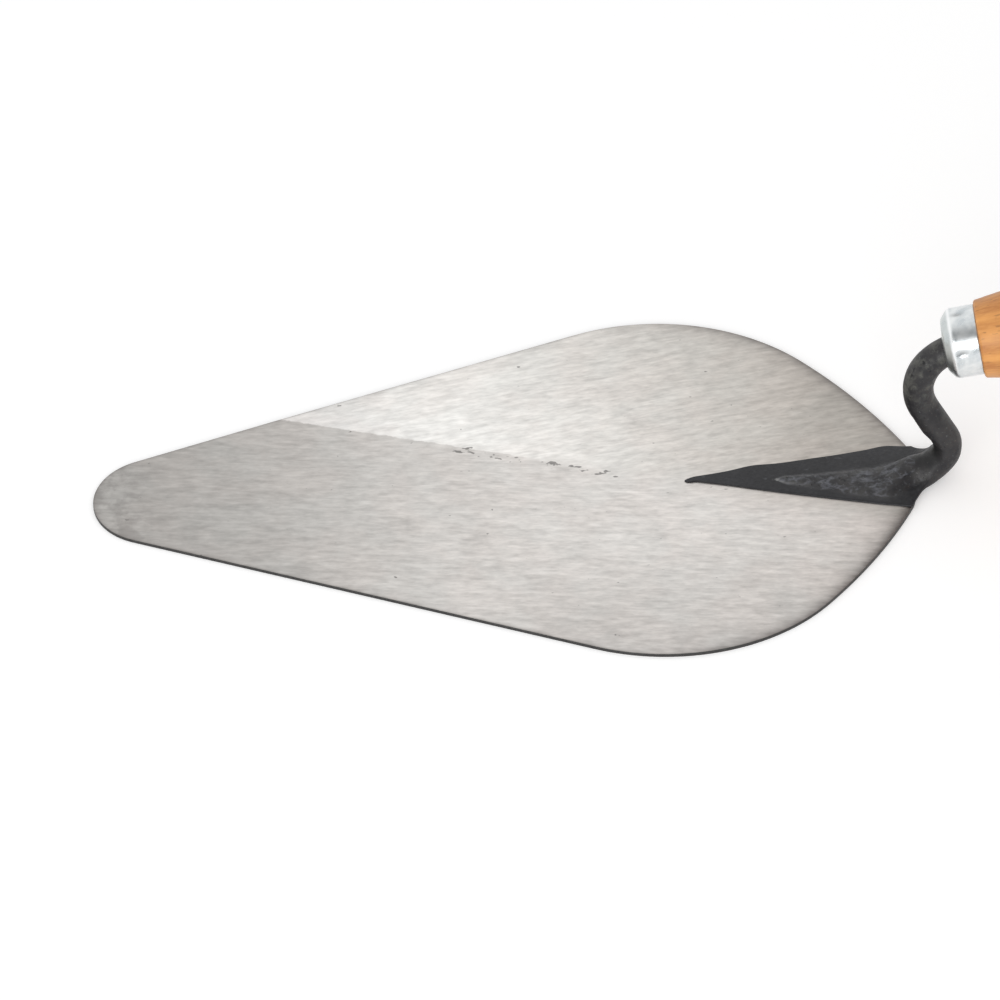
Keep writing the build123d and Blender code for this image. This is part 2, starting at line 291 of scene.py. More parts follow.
def lerp(a, b, t):
    return a + (b - a) * t


def smooth(low, high, value):
    """0 below low, 1 above high, with a smooth change between."""
    t = min(1.0, max(0.0, (value - low) / (high - low)))
    return t * t * (3 - 2 * t)


def wobble(point, size, seed=0.0):
    """Smooth noise from -1 to 1 whose bumps are about this size."""
    return noise.noise(point / size + Vector((seed, seed * 1.7, -seed)))


def layered(layers, point):
    """The sum of several layers of noise, each given as (depth, size, seed)."""
    return sum(depth * wobble(point, size, seed) for depth, size, seed in layers)


def make_object(name, points, faces):
    mesh = bpy.data.meshes.new(name)
    mesh.from_pydata([tuple(p) for p in points], [], faces)
    mesh.validate()
    thing = bpy.data.objects.new(name, mesh)
    bpy.context.scene.collection.objects.link(thing)
    return thing


def tidy_mesh(thing, merge=1e-6):
    """Welds the points that coincide and turns every face outward."""
    work = bmesh.new()
    work.from_mesh(thing.data)
    bmesh.ops.remove_doubles(work, verts=work.verts, dist=merge)
    bmesh.ops.dissolve_degenerate(work, edges=work.edges, dist=merge)
    bmesh.ops.recalc_face_normals(work, faces=work.faces)
    work.to_mesh(thing.data)
    work.free()


def shade_smooth(thing, angle=40):
    for face in thing.data.polygons:
        face.use_smooth = True
    thing.data.set_sharp_from_angle(angle=radians(angle))


def tube_faces(rings, around, closed=False):
    """Quads between successive rings of points, and from the last back to the first if closed."""
    faces = []
    for i in range(rings if closed else rings - 1):
        here, above = i * around, (i + 1) % rings * around
        for j in range(around):
            k = (j + 1) % around
            faces.append((here + j, here + k, above + k, above + j))
    return faces


def closed_tube(name, rings):
    """A closed solid from a list of rings, with a point in the middle of each end."""
    around = len(rings[0])
    points = [p for ring in rings for p in ring]
    faces = tube_faces(len(rings), around)
    for base, ring in ((0, rings[0]), (len(points) - around, rings[-1])):
        middle = sum((Vector(p) for p in ring), Vector()) / around
        points.append(middle)
        for j in range(around):
            faces.append((base + j, base + (j + 1) % around, len(points) - 1))
    thing = make_object(name, points, faces)
    tidy_mesh(thing)
    return thing


def displace(thing, amount):
    """Moves each point along its normal by amount(point, normal)."""
    work = bmesh.new()
    work.from_mesh(thing.data)
    work.normal_update()
    moves = [v.normal * amount(v.co, v.normal) for v in work.verts]
    for vertex, move in zip(work.verts, moves):
        vertex.co += move
    work.to_mesh(thing.data)
    work.free()


def paint(thing, name, amount):
    """Stores amount(point) on every point of the mesh, for the material to read."""
    layer = thing.data.attributes.new(name, "FLOAT", "POINT")
    for i, vertex in enumerate(thing.data.vertices):
        layer.data[i].value = amount(vertex.co)


# ======== the blade

def flank_angle():
    across = SHOULDER_CENTRE - TIP_CENTRE
    return atan2(across.y, across.x) + asin((SHOULDER_RADIUS - TIP_RADIUS) / across.length)


def back_centre():
    """The centre of the arc from the shoulder to the heel, and its bearing from the shoulder's."""
    to_heel = HEEL_CORNER - SHOULDER_CENTRE
    gap = BACK_RADIUS - SHOULDER_RADIUS
    bearing = acos((gap**2 + to_heel.length**2 - BACK_RADIUS**2) / (2 * gap * to_heel.length))
    away = atan2(to_heel.y, to_heel.x) - bearing
    return SHOULDER_CENTRE + gap * Vector((cos(away), sin(away))), away


FLANK = flank_angle()
FLANK_NORMAL = Vector((-sin(FLANK), cos(FLANK)))
BACK_CENTRE, BACK_BEARING = back_centre()


def arc(centre, radius, start, end, step):
    count = max(2, round(abs(end - start) * radius / step))
    angles = [lerp(start, end, i / count) for i in range(count + 1)]
    return [centre + radius * Vector((cos(a), sin(a))) for a in angles]


def blade_outline(step):
    """The +Y half of the outline, from the tip to the corner of the heel."""
    points = arc(TIP_CENTRE, TIP_RADIUS, pi, pi / 2 + FLANK, step)
    start = points[-1]
    end = SHOULDER_CENTRE + SHOULDER_RADIUS * FLANK_NORMAL
    count = round((end - start).length / step)
    points += [start.lerp(end, i / count) for i in range(1, count)]
    points += arc(SHOULDER_CENTRE, SHOULDER_RADIUS, pi / 2 + FLANK, BACK_BEARING + pi, step)
    to_heel = HEEL_CORNER - BACK_CENTRE
    points += arc(BACK_CENTRE, BACK_RADIUS, BACK_BEARING + pi, atan2(to_heel.y, to_heel.x), step)[1:]
    return points


def plane_height(a, b, c, x, y):
    normal = (b - a).cross(c - a)
    return a.z - (normal.x * (x - a.x) + normal.y * (y - a.y)) / normal.z


ROOT = Vector((FOOT_POINT_X, 0, ROOT_THICKNESS))
TIP = Vector((TIP_X, 0, TIP_THICKNESS))
RIGHT_EDGE = Vector((0, -HALF_WIDTH, EDGE_THICKNESS))
LEFT_EDGE = Vector((0, HALF_WIDTH, EDGE_THICKNESS))
RIDGE_END_X = FOOT_POINT_X - RIDGE_LENGTH
RIDGE_END_Y = RIDGE_LENGTH * RIDGE_SLOPE
RIDGE_END = Vector((
    RIDGE_END_X,
    RIDGE_END_Y,
    plane_height(ROOT, TIP, RIGHT_EDGE, RIDGE_END_X, RIDGE_END_Y),
))


def ground_height(x, y):
    """The height of the blade's ground top, without its rounded edges."""
    right = plane_height(ROOT, TIP, RIGHT_EDGE, x, y)
    left = plane_height(ROOT, LEFT_EDGE, RIDGE_END, x, y)
    if x > FOOT_POINT_X:
        return min(left, right)
    ridge = (FOOT_POINT_X - x) * RIDGE_SLOPE
    return lerp(right, left, smooth(-RIDGE_ROUND, RIDGE_ROUND, y - ridge))


def rim_drop(x, inset):
    """How far the top falls towards its edge: a small round, and a worn rim behind."""
    drop = 0.0
    if inset < EDGE_ROUND:
        drop += EDGE_ROUND - sqrt(EDGE_ROUND**2 - (EDGE_ROUND - inset) ** 2)
    if inset < ROLLED_RIM:
        drop += ROLLED_DROP * smooth(*ROLLED_FROM, x) * (1 - inset / ROLLED_RIM) ** 2
    return drop


def blade_surface(x, y, inset):
    """The height of the blade's top at a point this far in from the outline."""
    height = ground_height(x, y) - rim_drop(x, inset)
    return height + layered(HOLLOWS, Vector((x, y, 0))) * smooth(0, HOLLOW_MARGIN, inset)


def edge_distance(point):
    """How far in from the outline a point of the blade is."""
    here = Vector((point.x, abs(point.y)))
    bearing = atan2(here.y - SHOULDER_CENTRE.y, here.x)
    if -pi / 2 < bearing < BACK_BEARING + pi:
        return BACK_RADIUS - (here - BACK_CENTRE).length
    if -pi / 2 < bearing < pi / 2 + FLANK:
        return SHOULDER_RADIUS - (here - SHOULDER_CENTRE).length
    if atan2(here.y, here.x - TIP_CENTRE.x) > pi / 2 + FLANK:
        return TIP_RADIUS - (here - TIP_CENTRE).length
    return TIP_RADIUS - (here - TIP_CENTRE).dot(FLANK_NORMAL)


def rim_shade_share(point):
    """Painted shade: 1 at the blade's edge and 0 well inside it, with a broad band round the back."""
    inset = max(0.0, edge_distance(point))
    back = smooth(*RIM_FROM, point.x) * exp(-inset / RIM_REACH)
    return max(back, EDGE_SHADE_SHARE * exp(-inset / EDGE_SHADE_REACH))


def heel_line():
    """The points between the heel's left and right corners."""
    points = []
    for i in range(1, HEEL_STEPS):
        across = 1 - 2 * i / HEEL_STEPS
        setback = (HEEL_X - HEEL_CORNER.x) * abs(across) ** HEEL_BOW
        points.append((HEEL_X - setback, HEEL_CORNER.y * across))
    return points


def blade_loop():
    """The whole outline, from the tip round by the left side, the heel and the right side."""
    left = [(p.x, p.y) for p in blade_outline(OUTLINE_STEP)]
    return left + heel_line() + [(x, -y) for x, y in reversed(left[1:])]


def spine_point(x):
    """The point on the blade's middle line that the rings close on, for an outline point at x."""
    share = (x - TIP_X) / (HEEL_X - TIP_X)
    return Vector((lerp(TIP_X + SPINE_TIP_SHARE * TIP_RADIUS, HEEL_X - SPINE_HEEL_GAP, share), 0))


def top_point(edge, middle, inset):
    """A point of the blade's top, this far from the outline towards the middle line."""
    place = edge.lerp(middle, inset / (middle - edge).length)
    return (place.x, place.y, blade_surface(place.x, place.y, inset))


def blade_rings():
    """Rings up from the middle of the underside, round the edge and in over the top."""
    pairs = [(Vector((x, y)), spine_point(x)) for x, y in blade_loop()]
    rings = []
    for i in range(UNDERSIDE_RINGS + 1):
        share = i / UNDERSIDE_RINGS * (1 - 0.001)    # the last ring stops just short of the edge
        flat = [middle.lerp(edge, share) for edge, middle in pairs]
        rings.append([(place.x, place.y, 0.0) for place in flat])
    rings.append([(edge.x, edge.y, EDGE_LIP) for edge, middle in pairs])
    for inset in RING_INSETS:
        rings.append([top_point(edge, middle, inset) for edge, middle in pairs])
    for i in range(1, TOP_RINGS + 1):
        ring = []
        for edge, middle in pairs:
            inset = lerp(RING_INSETS[-1], (middle - edge).length, i / TOP_RINGS)
            ring.append(top_point(edge, middle, inset))
        rings.append(ring)
    return rings


def make_blade():
    rings = blade_rings()
    points = [p for ring in rings for p in ring]
    thing = make_object("blade_ground", points, tube_faces(len(rings), len(rings[0])))
    tidy_mesh(thing, 1e-5)
    for face in thing.data.polygons:
        upright = abs(face.normal.z) < 0.5
        face.material_index = 1 if upright else 0
    shade_smooth(thing, 50)
    paint(thing, "rim", rim_shade_share)
    return thing


# ======== the shank

def rounded_path(corners, radii, step):
    """Straight runs joined by tangent arcs, in the XZ plane, as (point, heading, distance)."""
    samples = []
    here = corners[0]
    distance = 0.0

    def note(point, heading):
        nonlocal distance
        if samples:
            distance += (point - samples[-1][0]).length
        samples.append((point, heading, distance))

    for i in range(1, len(corners)):
        run = corners[i] - corners[i - 1]
        heading = atan2(run.y, run.x)
        if i < len(corners) - 1:
            onward = corners[i + 1] - corners[i]
            turn = (atan2(onward.y, onward.x) - heading + pi) % (2 * pi) - pi
            radius = radii[i - 1]
            stop = corners[i] - run.normalized() * radius * tan(abs(turn) / 2)
        else:
            turn, stop = 0.0, corners[i]
        count = max(1, round((stop - here).length / step))
        for k in range(count + 1):
            if samples and k == 0:
                continue
            note(here.lerp(stop, k / count), heading)
        if turn:
            side = 1 if turn > 0 else -1
            centre = stop + radius * side * Vector((-sin(heading), cos(heading)))
            count = max(3, round(abs(turn) * radius / step))
            for k in range(1, count + 1):
                angle = heading + turn * k / count
                note(centre - radius * side * Vector((-sin(angle), cos(angle))), angle)
            here = samples[-1][0]
    return samples


def shank_path(step):
    """The line through the middle of the bar, from over the foot's point into the handle."""
    start = Vector((FOOT_POINT_X, NECK_RADIUS))
    leg = Vector((-sin(NECK_LEAN), cos(NECK_LEAN)))
    bend = NECK_LOWER_RADIUS * tan((pi / 2 + NECK_LEAN) / 2)
    low = Vector((HEEL_X + NECK_START + bend, NECK_RADIUS))
    entry = Vector((cos(NECK_ENTRY_RISE), sin(NECK_ENTRY_RISE)))
    front = Vector((FERRULE_FRONT.x, FERRULE_FRONT.z))
    along = Vector((HANDLE_DIRECTION.x, HANDLE_DIRECTION.z))
    join = front + along * NECK_JOIN
    gap = join - low
    reach = (gap.x * entry.y - gap.y * entry.x) / (leg.x * entry.y - leg.y * entry.x)
    high = low + leg * reach
    end = front + along * (NECK_ENTRY + TANG_LENGTH)
    corners = [start, low, high, join, end]
    return rounded_path(corners, [NECK_LOWER_RADIUS, NECK_UPPER_RADIUS, NECK_JOIN_RADIUS], step)


def smooth_max(a, b, soft):
    return (a + b + sqrt((a - b) ** 2 + soft**2)) / 2


def held_below(value, limit):
    """The value, eased so that it stays under the limit."""
    most, soft = limit
    return value - smooth_max(value - most, 0.0, soft)


def opening(distance, spread, fading):
    """A side of the foot widening from its point, which is rounded off over a little way."""
    point = smooth(0, 1.2 * MM, distance) * (1 - smooth(0, fading, distance))
    return spread * distance + FOOT_POINT_RADIUS * point


def left_width(distance):
    width = opening(distance, LEFT_SPREAD, 25 * MM) + LEFT_LEAN * smooth(0, 4 * MM, distance)
    width = held_below(width, LEFT_LIMIT)
    for middle, height, spread in LEFT_WAVES:
        width += height * exp(-((distance - middle) / spread) ** 2)
    return max(width, 0.0)


def right_width(distance):
    front = smooth(1.5 * MM, 4 * MM, distance) * (1 - smooth(12 * MM, 28 * MM, distance))
    width = opening(distance, RIGHT_SPREAD, 5 * MM) + RIGHT_LEAN * front
    return max(held_below(width, RIGHT_LIMIT), 0.0)


def foot_half_width(distance, left):
    """The V widens to the heel, then closes on the bar, sooner and tighter on its right side."""
    width = left_width(distance) if left else right_width(distance)
    start, length, power = LEFT_FUNNEL if left else RIGHT_FUNNEL
    past = min(1.0, max(0.0, (distance - FOOT_LENGTH - start) / length))
    return lerp(width, NECK_RADIUS, 1 - (1 - past) ** power)


def rib_shape(distance, y):
    """The rib's height over the blade's underside, and how far out from its crest a point is."""
    grow = (distance - RIB_START) / RIB_LENGTH
    if grow <= 0:
        return -1.0, 2.0    # no rib here: below everything, and well outside
    nose = sqrt(min(1.0, (distance - RIB_START) / RIB_NOSE_LENGTH))
    crest = ROOT_THICKNESS + nose * lerp(RIB_NOSE_HEIGHT, RIB_REAR_HEIGHT, grow)
    crest += RIB_FILLET * smooth(0.72, 1.12, grow)
    aside = y - RIB_CREST * (1 - smooth(0.5, 1.0, grow))
    reach = lerp(*(RIB_LEFT_REACH if aside > 0 else RIB_RIGHT_REACH), grow)
    reach = nose * lerp(reach, RIB_NECK_REACH, smooth(0.75, 1.05, grow))
    share = min(1.3, abs(aside) / max(0.2 * MM, reach))
    return crest - (crest - ROOT_THICKNESS) * share ** RIB_ROUNDNESS, share


def foot_top(distance, y, half):
    """The height of the foot's upper side: a flat strip, and the rib along its middle."""
    x = FOOT_POINT_X + distance
    along = min(1.0, distance / FOOT_LENGTH)
    base = ground_height(min(x, HEEL_X), y) + FOOT_RIM * smooth(-2 * MM, 3 * MM, distance)
    across = min(1.0, abs(y) / max(half, 0.1 * MM))
    base += FOOT_CROWN * along**2 * (1 - across**2)
    return smooth_max(base, rib_shape(distance, y)[0], RIB_BLEND)


def underside(distance, y):
    """The foot lies on the blade, and behind the heel its middle reaches down to Z = 0."""
    on_blade = ground_height(min(FOOT_POINT_X + distance, HEEL_X), y) - FOOT_SINK
    if distance <= FOOT_LENGTH + 0.15 * MM:
        return on_blade
    return on_blade * smooth(4 * MM, 8 * MM, abs(y))


def thinning(point):
    """How much the top of the bar is flattened where it comes up to the ferrule."""
    if point.y <= NECK_HALFWAY:
        return 0.0
    ahead = (FERRULE_FRONT - Vector((point.x, 0, point.y))).dot(HANDLE_DIRECTION)
    return NECK_THINNING * smooth(*THINNING_REACH, ahead)


def ring_at(point, heading, section):
    """A closed ring round a point of the bar's line; section(c, s) gives its Y and its height."""
    up = Vector((-sin(heading), cos(heading)))
    ring = []
    for j in range(SHANK_AROUND):
        angle = 2 * pi * j / SHANK_AROUND
        y, height = section(cos(angle), sin(angle))
        centre = point + up * height
        ring.append(Vector((centre.x, y, centre.y)))
    return ring


def shank_ring(point, heading, distance):
    """One section across the bar: the foot's, the round bar's, or a mix of the two."""
    to_round = smooth(FOOT_LENGTH + ROUNDING[0], FOOT_LENGTH + ROUNDING[1], distance)
    thin = thinning(point)

    def section(c, s):
        half = foot_half_width(distance, c > 0)
        y = half * c
        foot = underside(distance, y) - NECK_RADIUS
        if s >= 0:
            inside = 1 - abs(c) ** FOOT_EDGE_POWER
            foot = lerp(foot, foot_top(distance, y, half) - NECK_RADIUS, inside)
        bar = NECK_RADIUS * s - thin * max(0.0, s)
        return y, lerp(foot, bar, to_round)

    return ring_at(point, heading, section)


def square_ring(point, heading, half):
    def section(c, s):
        grow = half / max(abs(c), abs(s))
        return c * grow, s * grow

    return ring_at(point, heading, section)


def lower_bend_centre():
    """The middle of the neck's lower bend, as (X, Z)."""
    return Vector((HEEL_X + NECK_START, NECK_RADIUS + NECK_LOWER_RADIUS))


def folded(point):
    """1 in the crease where the neck bends up from the foot, and 0 away from it."""
    away = (Vector((point.x, point.z)) - lower_bend_centre()).length
    return smooth(FOLD_REACH[1], FOLD_REACH[0], away)


def on_rib(point):
    """1 on the rough rib and the neck, and 0 on the foot's smooth strips."""
    distance = point.x - FOOT_POINT_X
    if point.z > NECK_FROM_Z:
        return 1.0
    if distance < RIB_START - 1 * MM:
        return 0.0
    share = rib_shape(max(distance, RIB_START + 0.3 * MM), point.y)[1]
    return max(1 - smooth(0.85, 1.15, share), smooth(0, 6 * MM, distance - FOOT_LENGTH))


def off_rib(point):
    """True ahead of the rib's nose, behind the heel and up on the neck."""
    distance = point.x - FOOT_POINT_X
    return distance < RIB_START - 0.5 * MM or distance > FOOT_LENGTH or point.z > NECK_FROM_Z


def crest_wear_and_highlight(point):
    """1 along the rib's crest, where the scale is worn off and a painted highlight lies, and about a
    half on the rest of it.
    """
    if off_rib(point):
        return 0.0
    distance = point.x - FOOT_POINT_X
    grow = (distance - RIB_START) / RIB_LENGTH
    share = rib_shape(max(distance, RIB_START + 0.3 * MM), point.y)[1]
    crest = exp(-(share / 0.35) ** 2) * (1 - smooth(0.7, 1.0, grow))
    return min(1.0, crest + 0.45 * (1 - smooth(0.8, 1.1, share)))


def nose_highlight_at(point):
    """Painted highlight: 1 round the outline of the rib's nose."""
    if off_rib(point):
        return 0.0
    distance = point.x - FOOT_POINT_X
    share = rib_shape(max(distance, RIB_START + 0.1 * MM), point.y)[1]
    outline = exp(-((share - 0.75) / 0.22) ** 2) * exp(-max(0.0, distance - RIB_START) / (4 * MM))
    front = exp(-((distance - RIB_START - 0.3 * MM) / (0.7 * MM)) ** 2)
    return max(outline, front if share < 1.1 else 0.0)


def forged(point, normal):
    """The hammered and scaled surface: fine on the foot's strip, rough on the rib and neck."""
    distance = point.x - FOOT_POINT_X
    plain = point.x > FERRULE_FRONT.x + PLAIN_FROM[0] and point.z > PLAIN_FROM[1]
    on_blade = normal.z < -0.3 and point.z < 2.5 * MM
    if plain or on_blade:
        return 0.0
    dents = layered(DENTS, point) - FOLD_DEPTH * folded(point)
    scale = layered(SCALE_PITS, point)
    if point.z < ROOT_THICKNESS + 2.2 * MM and point.x < HEEL_X:
        rough = smooth(RIB_START - 2 * MM, RIB_START + 6 * MM, distance)
        rib = smooth(ROOT_THICKNESS + 0.7 * MM, ROOT_THICKNESS + 1.3 * MM, point.z)
        hammered = layered(HAMMER_MARKS, point)
        return 0.25 * (0.5 * dents + scale) + rough * rib * (hammered + scale)
    return dents + 0.8 * scale


def make_shank():
    entry = FERRULE_FRONT + HANDLE_DIRECTION * NECK_ENTRY
    samples = [sample for sample in shank_path(SHANK_STEP) if sample[2] >= FOOT_TIP_CUT]
    rings = []
    for i, (point, heading, distance) in enumerate(samples):
        past = (Vector((point.x, 0, point.y)) - entry).dot(HANDLE_DIRECTION)
        if past <= 0 or point.y <= NECK_HALFWAY:
            rings.append(shank_ring(point, heading, distance))
        elif i % TANG_SKIP == 0:
            half = lerp(TANG_ROOT, TANG_POINT, past / TANG_LENGTH)
            rings.append(square_ring(point, heading, half))
    thing = closed_tube("shank_forged", rings)
    displace(thing, forged)
    shade_smooth(thing, 48)
    paint(thing, "crest_rub_highlight", crest_wear_and_highlight)
    paint(thing, "rib", on_rib)
    paint(thing, "nose", nose_highlight_at)
    paint(thing, "fold", folded)
    return thing


# ======== the ferrule and the handle

def lathe(name, profile, around, shape=None):
    """Spins a closed half section, (radius, distance behind the ferrule's front), about the handle."""
    points = []
    for radius, behind in profile:
        for j in range(around):
            angle = 2 * pi * j / around
            r = radius + (shape(radius, behind, angle) if shape and radius > 0 else 0.0)
            outward = Vector((0, cos(angle), 0)) + HANDLE_UP * sin(angle)
            points.append(FERRULE_FRONT + HANDLE_DIRECTION * behind + outward * r)
    thing = make_object(name, points, tube_faces(len(profile), around, closed=True))
    tidy_mesh(thing, 1e-5)
    return thing


def cup_end(inset):
    """The ferrule's front in half section, set this far inside: a low dome, a bevel and a skirt."""
    skirt = 2 * FERRULE_ROUND
    corners = [Vector((0, 0)), Vector(BEVEL_FRONT), Vector(BEVEL_REAR), Vector((FERRULE_RADIUS, skirt))]
    points = []
    for point, heading, distance in rounded_path(corners, BEVEL_ROUNDS, 0.12 * MM):
        inward = Vector((-sin(heading), cos(heading)))
        point = point + inward * inset
        if point.x >= 0 and point.y < skirt - 0.2 * MM:
            points.append((point.x, point.y))
    return points


def stake_share(behind, angle):
    """1 in the middle of a punched dimple and 0 away from it."""
    pitch = 2 * pi / STAKE_COUNT
    nearest = round((angle - pi / 2) / pitch) * pitch + pi / 2
    aside = (angle - nearest) * FERRULE_RADIUS
    along = (behind - STAKE_SETBACK) / STAKE_LENGTHENING
    return exp(-(aside**2 + along**2) / (2 * STAKE_SPREAD**2))


def stake_dent(radius, behind, angle):
    """The dimples round the skirt, and the metal's slight unevenness."""
    where = Vector((behind, radius * cos(angle), radius * sin(angle)))
    return layered([PLATE_WOBBLE], where) - STAKE_DEPTH * stake_share(behind, angle)


def stake_at(point):
    away = point - FERRULE_FRONT
    return stake_share(away.dot(HANDLE_DIRECTION), atan2(away.dot(HANDLE_UP), away.y))


def front_at(point):
    """1 on the ferrule's rounded front and 0 on its skirt."""
    behind = (point - FERRULE_FRONT).dot(HANDLE_DIRECTION)
    return 1 - smooth(RIM_BEHIND - 0.9 * MM, RIM_BEHIND - 0.3 * MM, behind)


def ring_highlight_at(point):
    """Painted highlight: 1 along the bright ring round the ferrule."""
    behind = (point - FERRULE_FRONT).dot(HANDLE_DIRECTION)
    return exp(-((behind - RIM_BEHIND) / RIM_SPREAD) ** 2)


def ferrule_profile():
    """The cup in half section: out over its front, back along the skirt, and home inside."""
    rear = FERRULE_LENGTH
    skirt = 2 * FERRULE_ROUND
    bore = FERRULE_RADIUS - FERRULE_WALL
    steps = 24
    outer = cup_end(0)
    for i in range(1, steps + 1):
        outer.append((FERRULE_RADIUS, lerp(skirt, rear - FERRULE_LIP, i / steps)))
    outer.append((FERRULE_RADIUS - FERRULE_LIP * 0.3, rear - FERRULE_LIP * 0.3))
    outer.append((FERRULE_RADIUS - FERRULE_LIP, rear))
    inner = [(bore, lerp(rear, skirt, i / steps)) for i in range(steps)]
    return outer + inner + list(reversed(cup_end(FERRULE_WALL)))


def neck_hole():
    """The stretch of bar at the ferrule's front, a little larger, as a cutter."""
    radius = NECK_RADIUS + NECK_HOLE_CLEARANCE
    rings = []
    for point, heading, distance in shank_path(1.0 * MM):
        behind = (Vector((point.x, 0, point.y)) - FERRULE_FRONT).dot(HANDLE_DIRECTION)
        if point.y > NECK_HALFWAY and abs(behind) < NECK_HOLE_REACH:
            rings.append(ring_at(point, heading, lambda c, s: (radius * c, radius * s)))
    return closed_tube("neck_cutter", rings)


def cut_away(thing, cutter):
    """Takes the cutter's shape out of the thing, for good, and deletes the cutter."""
    cut = thing.modifiers.new("cut", "BOOLEAN")
    cut.operation = "DIFFERENCE"
    cut.solver = "EXACT"
    cut.object = cutter
    bpy.context.view_layer.update()
    finished = thing.evaluated_get(bpy.context.evaluated_depsgraph_get())
    mesh = bpy.data.meshes.new_from_object(finished)
    thing.modifiers.clear()
    thing.data = mesh
    bpy.data.objects.remove(cutter)


def make_ferrule():
    thing = lathe("ferrule_plated", ferrule_profile(), 160, stake_dent)
    cut_away(thing, neck_hole())
    shade_smooth(thing, 35)
    paint(thing, "dent", stake_at)
    paint(thing, "front", front_at)
    paint(thing, "ring", ring_highlight_at)
    return thing


def handle_radius(behind):
    """The turned outline behind the shoulder: a swell, a waist and a flared butt."""
    knots = [
        (SHOULDER_ROUND, SHOULDER_RADIUS_WOOD, SHOULDER_FLARE),
        (*SWELL, SWELL_SLOPE),
        (*WAIST, 0.0),
        (*BUTT, 0.0),
    ]
    for (x0, y0, m0), (x1, y1, m1) in zip(knots, knots[1:]):
        if behind <= x1:
            h = x1 - x0
            t = max(0.0, (behind - x0) / h)
            return (
                y0 * (2 * t**3 - 3 * t**2 + 1)
                + h * m0 * (t**3 - 2 * t**2 + t)
                + y1 * (3 * t**2 - 2 * t**3)
                + h * m1 * (t**3 - t**2)
            )
    return BUTT[1]


def quarter(steps, first=0):
    """Angles from nothing to a right angle, in this many steps."""
    return [pi / 2 * i / steps for i in range(first, steps + 1)]


def handle_profile():
    """The wood in half section: the tenon, the shoulder, the grip, the butt and the bore."""
    inset = FERRULE_WALL + TENON_CLEARANCE
    rear = FERRULE_LENGTH
    tenon = [(r, b) for r, b in cup_end(inset) if r > HANDLE_MOUTH]
    profile = [(HANDLE_MOUTH, tenon[0][1])] + tenon
    profile.append((FERRULE_RADIUS - inset, rear))
    for angle in quarter(8):
        radius = SHOULDER_RADIUS_WOOD - SHOULDER_ROUND * (1 - sin(angle))
        profile.append((radius, rear + SHOULDER_ROUND * (1 - cos(angle))))
    steps = 130
    for i in range(1, steps + 1):
        behind = lerp(SHOULDER_ROUND, BUTT[0], i / steps)
        profile.append((handle_radius(behind), rear + behind))
    dome = HANDLE_LENGTH - BUTT[0]
    bulge = 2 / BUTT_SQUARENESS
    for angle in quarter(24, 1)[:-1]:
        behind = BUTT[0] + dome * sin(angle) ** bulge
        profile.append((BUTT[1] * cos(angle) ** bulge, rear + behind))
    profile.append((0.0, rear + HANDLE_LENGTH))
    blind = NECK_ENTRY + TANG_LENGTH + BORE_END_GAP
    return profile + [(0.0, blind), (BORE_END_RADIUS, blind), BORE_NECK]


def turning_marks(radius, behind, angle):
    """The wood isn't quite round, and the tool left faint rings."""
    if behind < FERRULE_LENGTH + 0.2 * MM or radius < 8 * MM:
        return 0.0
    where = Vector((behind, radius * cos(angle), radius * sin(angle)))
    return layered([WOOD_WOBBLE], where) + TURNING_DEPTH * sin(behind / TURNING_PITCH)


def make_handle():
    thing = lathe("handle_turned", handle_profile(), 144, turning_marks)
    shade_smooth(thing, 35)
    return thing


# ======== materials

OPEN_TREES = []


def open_tree(owner):
    """Empties a material's or world's node tree, and sends every node added from now on into it."""
    owner.use_nodes = True
    owner.node_tree.nodes.clear()
    OPEN_TREES.append(owner.node_tree)


def connect(node, inputs):
    """Sets a node's inputs; each value is a number, a colour or another node's socket."""
    for key, value in inputs.items():
        if isinstance(value, bpy.types.NodeSocket):
            node.id_data.links.new(value, node.inputs[key])
        else:
            node.inputs[key].default_value = value


def add(kind, inputs=None, **settings):
    """A shader node in the tree that was opened last."""
    made = OPEN_TREES[-1].nodes.new("ShaderNode" + kind)
    for key, value in settings.items():
        setattr(made, key, value)
    connect(made, inputs or {})
    return made


def calc(operation, a, b=0.0, c=0.0):
    return add("Math", {0: a, 1: b, 2: c}, operation=operation).outputs[0]


def times(a, b):
    return calc("MULTIPLY", a, b)


def weighted(*parts):
    """The sum of several values, each given as (value, weight)."""
    total = times(*parts[0])
    for value, weight in parts[1:]:
        total = calc("ADD", total, times(value, weight))
    return total


def fade(value, low, high, to_low=0.0, to_high=1.0, kind="SMOOTHSTEP"):
    """A smooth change of value from one range to another, held at both ends."""
    inputs = {"Value": value, 1: low, 2: high, 3: to_low, 4: to_high}
    return add("MapRange", inputs, interpolation_type=kind).outputs[0]


def fade_linear(value, low, high, to_low=0.0, to_high=1.0):
    return fade(value, low, high, to_low, to_high, "LINEAR")


def blend_colour(share, a, b, how="MIX"):
    inputs = {0: share, 6: a, 7: b}
    return add("Mix", inputs, data_type="RGBA", blend_type=how).outputs[2]


def overlaid(colour, *layers):
    """A colour with others laid over it in turn, each given as (share, colour)."""
    for share, over in layers:
        colour = blend_colour(share, colour, over)
    return colour


def combine_grey(value):
    return add("CombineColor", {0: value, 1: value, 2: value}).outputs[0]


def stretched(vector, stretch, shift=(0, 0, 0)):
    inputs = {"Vector": vector, "Location": shift, "Scale": stretch}
    return add("Mapping", inputs).outputs[0]


def placed(turn=(0, 0, 0), stretch=(1, 1, 1), shift=(0, 0, 0)):
    """The part's own coordinates, turned and stretched for a pattern."""
    here = add("TexCoord").outputs["Object"]
    inputs = {"Vector": here, "Location": shift, "Rotation": turn}
    return stretched(add("Mapping", inputs).outputs[0], stretch)


